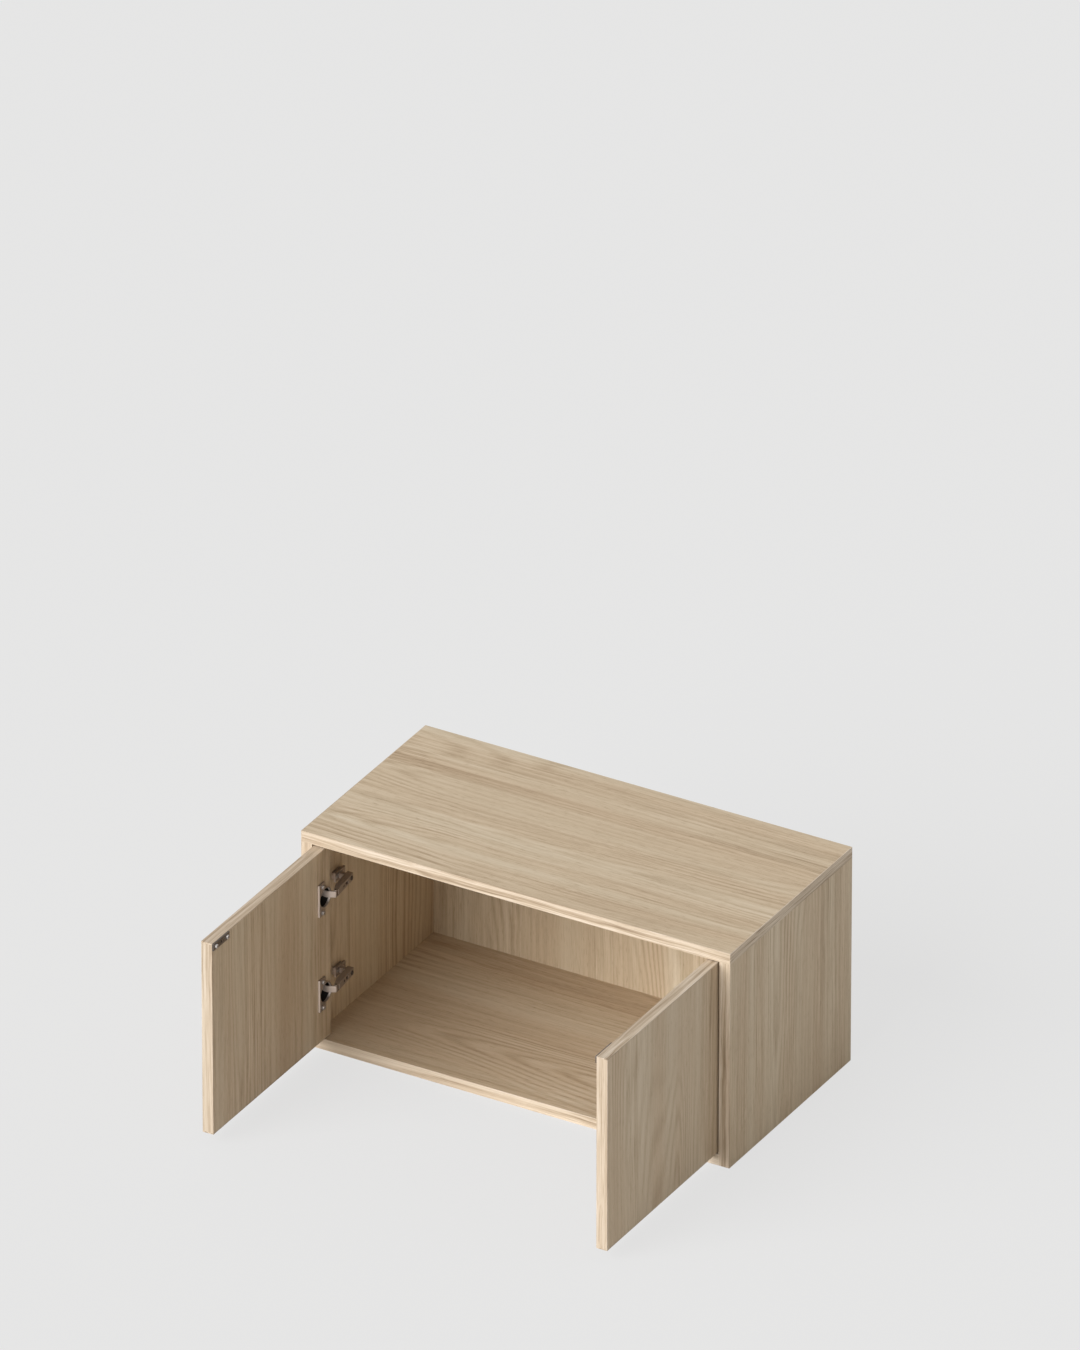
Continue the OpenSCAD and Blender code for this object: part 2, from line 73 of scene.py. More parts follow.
# %% [markdown]
# ## Camera
#
# The photograph is almost an axonometric view: the edges hardly run together. That means a
# very long lens from far away, here found from the corners of the carcass. The camera looks
# along a level direction first turned to the right, then tipped down, with no roll.

# %% Set up the camera
AZIMUTH, ELEVATION = radians(30.01), radians(29.429)
FOCAL_LENGTH = 622.75
STANDPOINT = (16.365, -28.452, 19.221)

camera_data = bpy.data.cameras.new("camera")
camera_data.lens = FOCAL_LENGTH
camera_data.clip_end = 100
camera = bpy.data.objects.new("camera", camera_data)
bpy.context.scene.collection.objects.link(camera)
camera.location = STANDPOINT
camera.rotation_euler = (pi / 2 - ELEVATION, 0, AZIMUTH)
bpy.context.scene.camera = camera
print("camera at", tuple(round(c, 2) for c in camera.location))

# %% [markdown]
# ## Light
#
# The front edges are the brightest faces, the top is a little darker and the right-hand
# faces are darkest. So one broad soft lamp stands in front, to the left and fairly low, and
# everything else is lit by a pale room. A sun lamp with a wide angle gives such light evenly
# over the whole cabinet. The room is made by the world: one even strength for light that
# falls on things, and the backdrop's own grey where the camera or a shiny face sees it.

# %% Helpers for shader nodes
def srgb(red, green, blue):
    """A colour as it is read off a picture, from 0 to 255, turned into Blender's linear numbers."""
    parts = [c / 255 for c in (red, green, blue)]
    return tuple(c / 12.92 if c <= 0.04045 else ((c + 0.055) / 1.055) ** 2.4 for c in parts) + (1,)


def add(tree, kind, inputs=None, **settings):
    """Adds a shader node. An input is either a number or colour, or the output that feeds it."""
    made = tree.nodes.new(kind)
    for name, value in settings.items():
        setattr(made, name, value)
    for name, value in (inputs or {}).items():
        if isinstance(value, bpy.types.NodeSocket):
            tree.links.new(value, made.inputs[name])
        else:
            made.inputs[name].default_value = value
    return made


def calc(tree, operation, first, second=0.0, third=0.0):
    """One Math node, as the output that holds its result."""
    made = add(tree, "ShaderNodeMath", {0: first, 1: second, 2: third}, operation=operation)
    return made.outputs[0]


def remap(tree, value, start, stop, first, last, **settings):
    """A value between start and stop, turned into one between first and last."""
    made = add(tree, "ShaderNodeMapRange", {0: value, 1: start, 2: stop, 3: first, 4: last},
               **settings)
    return made.outputs[0]


def mix(tree, factor, first, second, **settings):
    """The first colour where the factor is 0, the second where it is 1."""
    made = add(tree, "ShaderNodeMix", {"Factor": factor, "A": first, "B": second},
               data_type="RGBA", **settings)
    return made.outputs["Result"]


def split(tree, vector):
    """The three parts of a vector."""
    return add(tree, "ShaderNodeSeparateXYZ", {0: vector}).outputs


def ramp(tree, value, stops):
    """A value turned into a colour through (position, colour) stops."""
    made = add(tree, "ShaderNodeValToRGB", {"Fac": value})
    for _ in stops[2:]:
        made.color_ramp.elements.new(0.5)
    for element, (position, colour) in zip(made.color_ramp.elements, stops):
        element.position = position
        element.color = colour
    return made.outputs["Color"]


# %% Sun lamp and room
BACKDROP = srgb(230, 230, 230)
ROOM = 0.455
ROOM_COLOUR = (1, 0.98, 0.95, 1)
KEY = Vector((-0.36, -0.93, 0.49))  # towards the lamp, as long as the lamp is strong
KEY_WIDTH = radians(52)

sun_data = bpy.data.lights.new("key_light", "SUN")
sun_data.energy = pi * KEY.length
sun_data.angle = KEY_WIDTH
sun = bpy.data.objects.new("key_light", sun_data)
sun.rotation_euler = KEY.to_track_quat("Z", "Y").to_euler()
bpy.context.scene.collection.objects.link(sun)

world = bpy.data.worlds.new("room")
world.use_nodes = True
bpy.context.scene.world = world
tree = world.node_tree
tree.nodes.clear()
path = add(tree, "ShaderNodeLightPath")
mirrored = calc(tree, "MAXIMUM", path.outputs["Is Glossy Ray"],
                path.outputs["Is Transmission Ray"])
seen = calc(tree, "MAXIMUM", path.outputs["Is Camera Ray"], mirrored)
room_light = add(tree, "ShaderNodeBackground", {"Color": ROOM_COLOUR, "Strength": ROOM})
backdrop = add(tree, "ShaderNodeBackground", {"Color": BACKDROP, "Strength": 1})
both = add(tree, "ShaderNodeMixShader",
           {0: seen, 1: room_light.outputs[0], 2: backdrop.outputs[0]})
add(tree, "ShaderNodeOutputWorld", {0: both.outputs[0]})
bpy.context.scene.view_settings.view_transform = "Standard"
print("key light strength", round(sun_data.energy, 2), "room", ROOM)

# %% [markdown]
# ## Floor
#
# The cabinet stands on a plain pale floor that can't be told from the backdrop. It lies a
# fifth of a millimetre below the cabinet, so that no two faces share one plane. The floor is
# a real surface, so it throws light back on the sides and takes the cabinet's shadow. For
# the camera most of its colour is the backdrop's own grey, which keeps the shadow faint, as
# it is in the photograph.

# %% Lay the floor
FLOOR_WIDTH = 24
SHADOWLESS_SHARE = 0.85

bpy.ops.object.select_all(action="DESELECT")
bpy.ops.mesh.primitive_plane_add(size=FLOOR_WIDTH, location=(0, 0, -0.2 * MM))
floor = bpy.context.object
floor.name = "floor"
floor_finish = bpy.data.materials.new("pale_floor")
floor_finish.use_nodes = True
tree = floor_finish.node_tree
tree.nodes.clear()
path = add(tree, "ShaderNodeLightPath")
matt = add(tree, "ShaderNodeBsdfDiffuse", {"Color": srgb(228, 228, 228)})
even = add(tree, "ShaderNodeEmission", {"Color": BACKDROP, "Strength": 1.01})
share = calc(tree, "MULTIPLY", path.outputs["Is Camera Ray"], SHADOWLESS_SHARE)
floor_mix = add(tree, "ShaderNodeMixShader", {0: share, 1: matt.outputs[0], 2: even.outputs[0]})
add(tree, "ShaderNodeOutputMaterial", {0: floor_mix.outputs[0]})
floor.data.materials.append(floor_finish)
print("floor", floor.dimensions.x, "m wide")

# %% [markdown]
# ## Oak figure
#
# The boards are faced with pale oak. Long soft bands, a few millimetres to a few
# centimetres wide, run along each board. Between them lie finer streaks, short dark pores,
# and here and there the pointed arches of a flat-sawn plank. All of it is one pattern that
# is stretched along the grain, so it is made once as a node group. Its input is a point whose
# X runs along the grain. The arches are the height lines of a stretched noise, which close
# on themselves as the year rings of a real plank do.

# %% Build the figure group
def new_group(name, inputs, outputs):
    """An empty shader group. Each input has a type and a start value, each output a type."""
    group = bpy.data.node_groups.new(name, "ShaderNodeTree")
    for title, (kind, start) in inputs.items():
        socket = group.interface.new_socket(title, in_out="INPUT", socket_type=kind)
        if start is not None:
            socket.default_value = start
    for title, kind in outputs.items():
        group.interface.new_socket(title, in_out="OUTPUT", socket_type=kind)
    return group, group.nodes.new("NodeGroupInput"), group.nodes.new("NodeGroupOutput")


def stretched_noise(tree, point, along, across, detail, roughness=0.5):
    """Noise that changes so many times a metre along the grain, and so many across it."""
    squeezed = add(tree, "ShaderNodeVectorMath", {0: point, 1: (along, across, across)},
                   operation="MULTIPLY").outputs[0]
    return add(tree, "ShaderNodeTexNoise", {"Vector": squeezed, "Scale": 1.0, "Detail": detail,
                                            "Roughness": roughness})


def centred(tree, value, strength):
    """A noise value around 0.5, as a swing around 0 of a given strength."""
    return calc(tree, "MULTIPLY", calc(tree, "SUBTRACT", value, 0.5), strength)


figure, start, end = new_group(
    "oak_figure",
    {"Point": ("NodeSocketVector", None), "Arches": ("NodeSocketFloat", 0.5),
     "Streaks": ("NodeSocketFloat", 1.0), "Pores": ("NodeSocketFloat", 1.0),
     "Bands": ("NodeSocketFloat", 1.0)},
    {"Tone": "NodeSocketFloat", "Band": "NodeSocketFloat", "Height": "NodeSocketFloat"},
)
point = start.outputs["Point"]


def bend(line, noise, reach):
    """The point moved sideways by a noise, so that lines along the grain wander."""
    return add(figure, "ShaderNodeVectorMath",
               {0: noise.outputs["Color"], 1: (0, reach * MM, reach * MM), 2: line},
               operation="MULTIPLY_ADD").outputs[0]


# Lines wander slowly by up to 22 mm, and more quickly by up to 4.5 mm.
bent = bend(point, stretched_noise(figure, point, 1.7, 4.0, 1.0), 22)
bent = bend(bent, stretched_noise(figure, point, 9.0, 22.0, 1.0), 4.5)

# Wide bands, streaks of a few millimetres, threads, pores, and veins that only darken.
band = stretched_noise(figure, bent, 0.5, 15, 1.5).outputs[0]
streak = stretched_noise(figure, bent, 2.0, 150, 3, 0.6).outputs[0]
thread = stretched_noise(figure, bent, 8, 640, 2, 0.6).outputs[0]
pore = stretched_noise(figure, bent, 60, 1500, 0).outputs[0]
pore = remap(figure, pore, 0.62, 0.78, 0, 1)
vein = stretched_noise(figure, bent, 1.6, 75, 4, 0.65).outputs[0]
vein = remap(figure, vein, 0.56, 0.7, 0, -0.22)

# Streaks come strong in some patches and faint in others.
patch = stretched_noise(figure, point, 1.0, 11.0, 1.0).outputs[0]
patch = remap(figure, patch, 0.35, 0.65, 0.45, 1.45)
patch = calc(figure, "MULTIPLY", patch, start.outputs["Streaks"])
fine = calc(figure, "ADD", centred(figure, streak, 0.75), centred(figure, thread, 0.4))
fine = calc(figure, "MULTIPLY", calc(figure, "ADD", fine, vein), patch)

# Height lines of a noise are the arches, shown only in a few places.
rings = stretched_noise(figure, bent, 0.65, 6.0, 0.6).outputs[0]
rings = calc(figure, "SINE", calc(figure, "MULTIPLY", rings, 260))
rings = calc(figure, "POWER", calc(figure, "MULTIPLY_ADD", rings, 0.5, 0.5), 1.6)
arch_place = stretched_noise(figure, point, 1.6, 5.0, 0).outputs[0]
arch_place = remap(figure, arch_place, 0.5, 0.64, 0, 1, interpolation_type="SMOOTHSTEP")
arches = calc(figure, "MULTIPLY", centred(figure, rings, -0.2), arch_place)
arches = calc(figure, "MULTIPLY", arches, start.outputs["Arches"])

dark_pores = calc(figure, "MULTIPLY", pore, -0.2)
dark_pores = calc(figure, "MULTIPLY", dark_pores, start.outputs["Pores"])
wide = calc(figure, "MULTIPLY", centred(figure, band, 0.5), start.outputs["Bands"])
tone = calc(figure, "ADD", fine, arches)
tone = calc(figure, "ADD", tone, calc(figure, "ADD", dark_pores, wide))
height = calc(figure, "ADD", calc(figure, "MULTIPLY", pore, -1.0), thread)
figure.links.new(calc(figure, "ADD", tone, 0.5), end.inputs["Tone"])
figure.links.new(band, end.inputs["Band"])
figure.links.new(height, end.inputs["Height"])
print("oak figure has", len(figure.nodes), "nodes")

# %% [markdown]
# ## Oak finish
#
# Tone becomes colour through a ramp from the brown of a pore to the cream between the
# streaks. Real oak also wanders between a pinkish and a greenish beige from band to band,
# so the wide bands tint it slightly. The matt film that covers the boards leaves a soft
# sheen and hardly any relief.

# %% Oak material
OAK_STOPS = [(0.0, (133, 112, 86)), (0.3, (172, 151, 124)), (0.5, (196, 177, 150)),
             (0.7, (211, 194, 170)), (1.0, (228, 215, 196))]
PINKISH, GREENISH = (1.05, 0.985, 0.94, 1), (0.95, 1.01, 1.03, 1)


def oak_material(name, point_maker, painted_light_scale=(1, 1, 1), core=None, **strengths):
    """A finish of pale oak.

    point_maker turns the point so that X runs along the grain, the three-part scale after it
    makes the wood lighter or darker as painted light or painted shade, core gives a mask and a
    colour for cut faces, and strengths set the figure."""
    finish = bpy.data.materials.new(name)
    finish.use_nodes = True
    tree = finish.node_tree
    shader = tree.nodes["Principled BSDF"]
    place = add(tree, "ShaderNodeTexCoord")
    wood = add(tree, "ShaderNodeGroup", node_tree=figure)
    tree.links.new(point_maker(tree, place.outputs["Object"]), wood.inputs["Point"])
    for title, strength in strengths.items():
        wood.inputs[title].default_value = strength
    stops = [(position, tuple(c * part for c, part in zip(srgb(*colour), painted_light_scale)) + (1,))
             for position, colour in OAK_STOPS]
    tint = mix(tree, wood.outputs["Band"], PINKISH, GREENISH)
    colour = mix(tree, 1.0, ramp(tree, wood.outputs["Tone"], stops), tint, blend_type="MULTIPLY")
    if core:
        mask, chips = core(tree, place)
        colour = mix(tree, mask, colour, chips)
    tree.links.new(colour, shader.inputs["Base Color"])
    rough = remap(tree, wood.outputs["Tone"], 0.2, 0.8, 0.62, 0.5)
    tree.links.new(rough, shader.inputs["Roughness"])
    bump = add(tree, "ShaderNodeBump", {"Height": wood.outputs["Height"], "Strength": 0.12,
                                        "Distance": 0.2 * MM})
    tree.links.new(bump.outputs[0], shader.inputs["Normal"])
    return finish


# %% [markdown]
# Oak film covers only the broad faces. Where a board is cut and no edging hides the cut, at
# the back and under the sides, the pressed wood chips of its core show. They are drawn as
# small angular cells in several browns, and a mask picks those faces by where they lie and
# which way they face.

# %% Chip core of the carcass boards
REAR_EDGE = 189.5 * MM
SIDE_BOARDS = 380.1 * MM


def chip_core(tree, place):
    """A mask of the cut faces at the back and underneath, and the colour of pressed chips there."""
    at, facing = split(tree, place.outputs["Object"]), split(tree, place.outputs["Normal"])
    rear = calc(tree, "MULTIPLY", calc(tree, "GREATER_THAN", facing[1], 0.5),
                calc(tree, "GREATER_THAN", at[1], REAR_EDGE))
    outer = calc(tree, "GREATER_THAN", calc(tree, "ABSOLUTE", at[0]), SIDE_BOARDS)
    lowest = calc(tree, "MULTIPLY", calc(tree, "LESS_THAN", at[2], 1 * MM), outer)
    under = calc(tree, "MULTIPLY", calc(tree, "LESS_THAN", facing[2], -0.5), lowest)
    chips = add(tree, "ShaderNodeTexVoronoi", {"Vector": place.outputs["Object"], "Scale": 700.0})
    browns = [(0.1, srgb(146, 117, 82)), (0.9, srgb(205, 180, 143))]
    return calc(tree, "MAXIMUM", rear, under), ramp(tree, chips.outputs["Color"], browns)


# %% Grain directions
def grain_across(tree, point):
    """Grain along the cabinet's width: the point is used as it is."""
    return point


def grain_upright(tree, point):
    """Grain along the height: Z takes the place of X."""
    at = split(tree, point)
    return add(tree, "ShaderNodeCombineXYZ", {0: at[2], 1: at[1], 2: at[0]}).outputs[0]


def grain_deep(tree, point):
    """Grain along the depth: Y takes the place of X."""
    at = split(tree, point)
    return add(tree, "ShaderNodeCombineXYZ", {0: at[1], 1: at[0], 2: at[2]}).outputs[0]


def choose(tree, mask, first, second):
    """The first point where the mask is 0, the second where it is 1."""
    return add(tree, "ShaderNodeMix", {0: mask, 4: first, 5: second}, data_type="VECTOR").outputs[1]


# %% [markdown]
# The edging is a thin strip of the same oak that always runs along the edge it covers. One
# node of the model holds several strips, so the direction is chosen by place: strips in the
# thickness of the top run across the front and along the sides, the sides' strips stand
# upright. A door's strips stand upright too, and lie along its width at top and bottom.

# %% Edging directions
def carcass_strips(tree, point):
    """The grain of the carcass's edging, which lies across, upright or front to back."""
    at = split(tree, point)
    wide = calc(tree, "ABSOLUTE", at[0])
    in_top = calc(tree, "GREATER_THAN", at[2], 380 * MM)
    below_top = calc(tree, "SUBTRACT", 1.0, in_top)
    upright = calc(tree, "MULTIPLY", calc(tree, "GREATER_THAN", wide, 380 * MM), below_top)
    deep = calc(tree, "MULTIPLY", calc(tree, "GREATER_THAN", wide, 398.9 * MM), in_top)
    front = choose(tree, upright, point, grain_upright(tree, point))
    return choose(tree, deep, front, grain_deep(tree, point))


def door_strips(tree, point):
    """The grain of a door's edging, level at its top and bottom and upright elsewhere."""
    at = split(tree, point)
    away = calc(tree, "ABSOLUTE", calc(tree, "SUBTRACT", at[2], 200 * MM))
    level = calc(tree, "GREATER_THAN", away, 176 * MM)
    return choose(tree, level, grain_upright(tree, point), grain_deep(tree, point))


# %% Give the boards their oak
# Each copy of the oak is scaled lighter or darker for where its boards sit: painted light on the
# top and on the carcass edging, painted shade on the cabinet's inner floor, on the doors and on the
# doors' edging.
oak_wide = oak_material("oak_grain_across", grain_across, (1.02, 1.02, 1.03), chip_core,
                        Arches=0.7, Streaks=0.8, Pores=1.0)
oak_low = oak_material("oak_grain_bottom", grain_across, (0.95, 0.93, 0.93), chip_core,
                       Arches=1.0, Streaks=0.8, Pores=1.0)
oak_tall = oak_material("oak_grain_upright", grain_upright, core=chip_core,
                        Arches=0.9, Streaks=0.8, Pores=0.8)
oak_door = oak_material("oak_grain_door", grain_upright, (0.95, 0.935, 0.93),
                        Arches=0.7, Streaks=0.8, Pores=0.8)
oak_rim = oak_material("oak_edging_carcass", carcass_strips, (1.03, 1.05, 1.13),
                       Arches=0.0, Streaks=1.6, Pores=0.5, Bands=0.4)
oak_door_rim = oak_material("oak_edging_door", door_strips, (0.95, 0.96, 1.03),
                            Arches=0.0, Streaks=1.6, Pores=0.5, Bands=0.4)


def finish_node(name, material):
    """Every face of a node of the model takes one material."""
    mesh = nodes[name].data
    mesh.materials.clear()
    mesh.materials.append(material)


finish_node("top_panel", oak_wide)
finish_node("bottom_panel", oak_low)
for name in ("left_side_panel", "right_side_panel", "back_panel"):
    finish_node(name, oak_tall)
for side in ("left", "right"):
    finish_node(side + "_door_panel", oak_door)
    finish_node(side + "_door_edging", oak_door_rim)
finish_node("carcass_edging", oak_rim)
print("boards finished in oak")

# %% [markdown]
# ## Metal, plastic and beech
#
# The hinges are pressed from steel sheet and plated with nickel: bright, slightly warm, with
# soft reflections and a trace of the direction in which the sheet was rolled. The faces that
# look to the front are painted paler and less mirror-like, a painted highlight that makes them
# the brightest part of each hinge. Screws are a little smoother and brighter. Strike plates are
# a darker nickel, painted shade; pins and springs are darker steel. The latches are moulded
# plastic with a fine even grain. One group gives all of them their small unevenness.

# %% Unevenness group
skin, start, end = new_group(
    "uneven_skin",
    {"Point": ("NodeSocketVector", None), "Rolling": ("NodeSocketVector", (1, 1, 1)),
     "Size": ("NodeSocketFloat", 900.0)},
    {"Cloud": "NodeSocketFloat", "Grit": "NodeSocketFloat"},
)
rolled = add(skin, "ShaderNodeVectorMath",
             {0: start.outputs["Point"], 1: start.outputs["Rolling"]},
             operation="MULTIPLY").outputs[0]
grit = add(skin, "ShaderNodeTexNoise",
           {"Vector": rolled, "Scale": start.outputs["Size"], "Detail": 3.0})
cloud = add(skin, "ShaderNodeTexNoise",
            {"Vector": start.outputs["Point"], "Scale": 70.0, "Detail": 2.0})
skin.links.new(cloud.outputs[0], end.inputs["Cloud"])
skin.links.new(grit.outputs[0], end.inputs["Grit"])
print("uneven skin has", len(skin.nodes), "nodes")


# %% Small-part materials
# The inside of a hinge cup is painted dark: painted shade in the recess.
CUP_PAINTED_SHADE = srgb(38, 34, 31)
# How metallic the faces with the painted front highlight stay.
HIGHLIGHT_METALLIC = 0.15


def small_part_material(name, dark, light, rough, metallic, rolling=(1, 1, 1), size=900.0,
                        relief=0.15, bowl_shade_start=None, painted_highlight_colour=None):
    """A plain material whose colour and roughness vary a little over the surface.

    The highlight colour paints a highlight on the faces that look to the front, and the bowl
    value is how far out in X the painted shade inside a hinge cup begins."""
    finish = bpy.data.materials.new(name)
    finish.use_nodes = True
    tree = finish.node_tree
    shader = tree.nodes["Principled BSDF"]
    shader.inputs["Metallic"].default_value = metallic
    place = add(tree, "ShaderNodeTexCoord")
    uneven = add(tree, "ShaderNodeGroup", node_tree=skin)
    tree.links.new(place.outputs["Object"], uneven.inputs["Point"])
    uneven.inputs["Rolling"].default_value = rolling
    uneven.inputs["Size"].default_value = size
    blend = calc(tree, "MULTIPLY_ADD", uneven.outputs["Grit"], 0.5,
                 calc(tree, "MULTIPLY", uneven.outputs["Cloud"], 0.5))
    colour = mix(tree, blend, srgb(*dark), srgb(*light))
    # Faces that look to the front are painted paler and less metallic: a painted highlight.
    if painted_highlight_colour:
        facing = split(tree, place.outputs["Normal"])
        highlight_mask = remap(tree, facing[1], -0.5, -0.85, 0, 1)
        colour = mix(tree, highlight_mask, colour, srgb(*painted_highlight_colour))
        shine = remap(tree, highlight_mask, 0, 1, metallic, HIGHLIGHT_METALLIC)
        tree.links.new(shine, shader.inputs["Metallic"])
    # The bowl of a hinge cup is painted dark, as painted shade in the recess.
    if bowl_shade_start:
        away = calc(tree, "ABSOLUTE", split(tree, place.outputs["Object"])[0])
        colour = mix(tree, calc(tree, "GREATER_THAN", away, bowl_shade_start), colour, CUP_PAINTED_SHADE)
    tree.links.new(colour, shader.inputs["Base Color"])
    spread = remap(tree, blend, 0.25, 0.75, rough - 0.07, rough + 0.07)
    tree.links.new(spread, shader.inputs["Roughness"])
    bump = add(tree, "ShaderNodeBump", {"Height": uneven.outputs["Grit"], "Strength": relief,
                                        "Distance": 0.05 * MM})
    tree.links.new(bump.outputs[0], shader.inputs["Normal"])
    return finish


NICKEL_DARK, NICKEL_LIGHT = (134, 121, 111), (168, 154, 143)
ROLLED_UPRIGHT, ROLLED_DEEP, GROWN_ACROSS = (1, 1, 0.06), (1, 0.06, 1), (0.1, 1, 1)
nickel = small_part_material("nickel_steel", NICKEL_DARK, NICKEL_LIGHT, 0.4, 0.55,
                             ROLLED_UPRIGHT, 1400, painted_highlight_colour=(226, 208, 195))
# The cup's front edge gets a still brighter painted highlight, and its bowl a painted shade.
flange_nickel = small_part_material("nickel_steel_cup", NICKEL_DARK, NICKEL_LIGHT, 0.4, 0.55,
                                    ROLLED_UPRIGHT, 1400, bowl_shade_start=357.2 * MM, painted_highlight_colour=(244, 230, 220))
# The strike plates are a darker copy of the nickel: painted shade for the shade they stand in.
strike_nickel = small_part_material("nickel_steel_strike", (92, 84, 78), (122, 113, 105),
                                    0.36, 0.7, ROLLED_DEEP, 1400)
screw_metal = small_part_material("screw_steel", (156, 150, 146), (202, 196, 192), 0.3, 0.75)
dark_metal = small_part_material("dark_steel", (70, 66, 62), (110, 104, 98), 0.4, 1.0)
grey_plastic = small_part_material("grey_plastic", (122, 126, 131), (146, 150, 155), 0.5, 0.0,
                                   size=2600)
white_plastic = small_part_material("white_plastic", (222, 222, 218), (238, 238, 234), 0.42, 0.0,
                                    size=2600)
magnet_metal = small_part_material("magnet", (78, 76, 76), (108, 106, 104), 0.45, 1.0, size=1800)
beech = small_part_material("beech", (176, 138, 98), (206, 170, 128), 0.6, 0.0,
                            GROWN_ACROSS, 700, 0.3)
finish_node("carcass_dowels", beech)
for side in ("left", "right"):
    finish_node(side + "_cup_pins", dark_metal)
    finish_node(side + "_arm_pins", dark_metal)
print("materials:", len(bpy.data.materials))

# %% [markdown]
# ## Pressed and moulded fittings
#
# Cups, links, arms, plates and latch housings have the right shape in the frame, but their
# edges are knife-sharp. Pressed sheet has a small round on every edge, and it is that round
# which catches the light. Each one could be drawn again from a block, but a copy of the
# frame's own mesh keeps every bore where its pin is. The copy's loose triangles are merged,
# flat areas are made one face again, and a bevel rounds what is left.

# %% Helpers for modelling
def only(*pieces):
    """Selects these objects and nothing else, and makes the first one active."""
    bpy.ops.object.select_all(action="DESELECT")
    for piece in pieces:
        piece.select_set(True)
    bpy.context.view_layer.objects.active = pieces[0]


def apply_modifier(piece, kind, **settings):
    """Adds one modifier with these settings and applies it."""
    only(piece)
    modifier = piece.modifiers.new(kind.lower(), kind)
    for name, value in settings.items():
        setattr(modifier, name, value)
    bpy.ops.object.modifier_apply(modifier=modifier.name)


def dress(piece, name, body, material, slot, *replaced):
    """Names and smooths a finished piece, and says what it rides on, replaces and is made of."""
    only(piece)
    bpy.ops.object.transform_apply(location=True, rotation=True, scale=True)
    bpy.ops.object.shade_smooth_by_angle(angle=radians(35))
    piece.name = name
    piece.data.name = name
    piece.data.materials.clear()
    piece.data.materials.append(material)
    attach(piece, body)
    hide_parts(*replaced)


def rounded_fitting(node_name, width, material, slot, segments=2):
    """A copy of a node with every sharp edge rounded."""
    source = nodes[node_name]
    piece = bpy.data.objects.new(node_name + "_rounded", source.data.copy())
    bpy.context.scene.collection.objects.link(piece)
    only(piece)
    bpy.ops.mesh.customdata_custom_splitnormals_clear()
    bpy.ops.object.mode_set(mode="EDIT")
    bpy.ops.mesh.select_all(action="SELECT")
    bpy.ops.mesh.remove_doubles(threshold=0.005 * MM)
    bpy.ops.mesh.dissolve_limited(angle_limit=radians(1))
    bpy.ops.object.mode_set(mode="OBJECT")
    apply_modifier(piece, "BEVEL", width=width, segments=segments, limit_method="ANGLE",
                   angle_limit=radians(40), use_clamp_overlap=False)
    dress(piece, node_name + "_rounded", source["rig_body"], material, slot, node_name)
    return piece


# %% Round the fittings
for side in ("left", "right"):
    for level in ("upper", "lower"):
        rounded_fitting(f"{side}_{level}_hinge_cup", 0.3 * MM, flange_nickel, "nickel_steel")
        rounded_fitting(f"{side}_{level}_hinge_link", 0.2 * MM, nickel, "nickel_steel")
        rounded_fitting(f"{side}_{level}_hinge_arm", 0.3 * MM, nickel, "nickel_steel")
        rounded_fitting(f"{side}_{level}_mounting_plate", 0.35 * MM, nickel, "nickel_steel")
    rounded_fitting(side + "_strike_plate", 0.3 * MM, strike_nickel, "nickel_steel")
    rounded_fitting(side + "_latch_housing", 0.6 * MM, grey_plastic, "grey_plastic", 3)
    rounded_fitting(side + "_latch_plunger", 0.25 * MM, white_plastic, "white_plastic")
    rounded_fitting(side + "_latch_magnet", 0.3 * MM, magnet_metal, "magnet")
print("fittings rounded")

# %% [markdown]
# ## Screws
#
# A round-headed screw has a domed head with a cross recess and a pointed shank below it.
# The head starts as a cylinder whose upper rim is bevelled into a dome. The recess is cut by
# a cross of two thin blocks, which is how the punch in the factory makes it. One screw is
# modelled, then copied to every place, turned so that its head looks out of the part.

# %% Model one screw
def block_at(centre, size):
    """A block of this size around a centre."""
    bpy.ops.object.select_all(action="DESELECT")
    bpy.ops.mesh.primitive_cube_add(size=1, location=centre)
    made = bpy.context.object
    made.scale = size
    bpy.ops.object.transform_apply(location=True, rotation=True, scale=True)
    return made


def cut_away(piece, cutter):
    """Takes the cutter's shape out of the piece, and the cutter out of the scene."""
    apply_modifier(piece, "BOOLEAN", operation="DIFFERENCE", object=cutter, solver="EXACT")
    bpy.data.objects.remove(cutter)


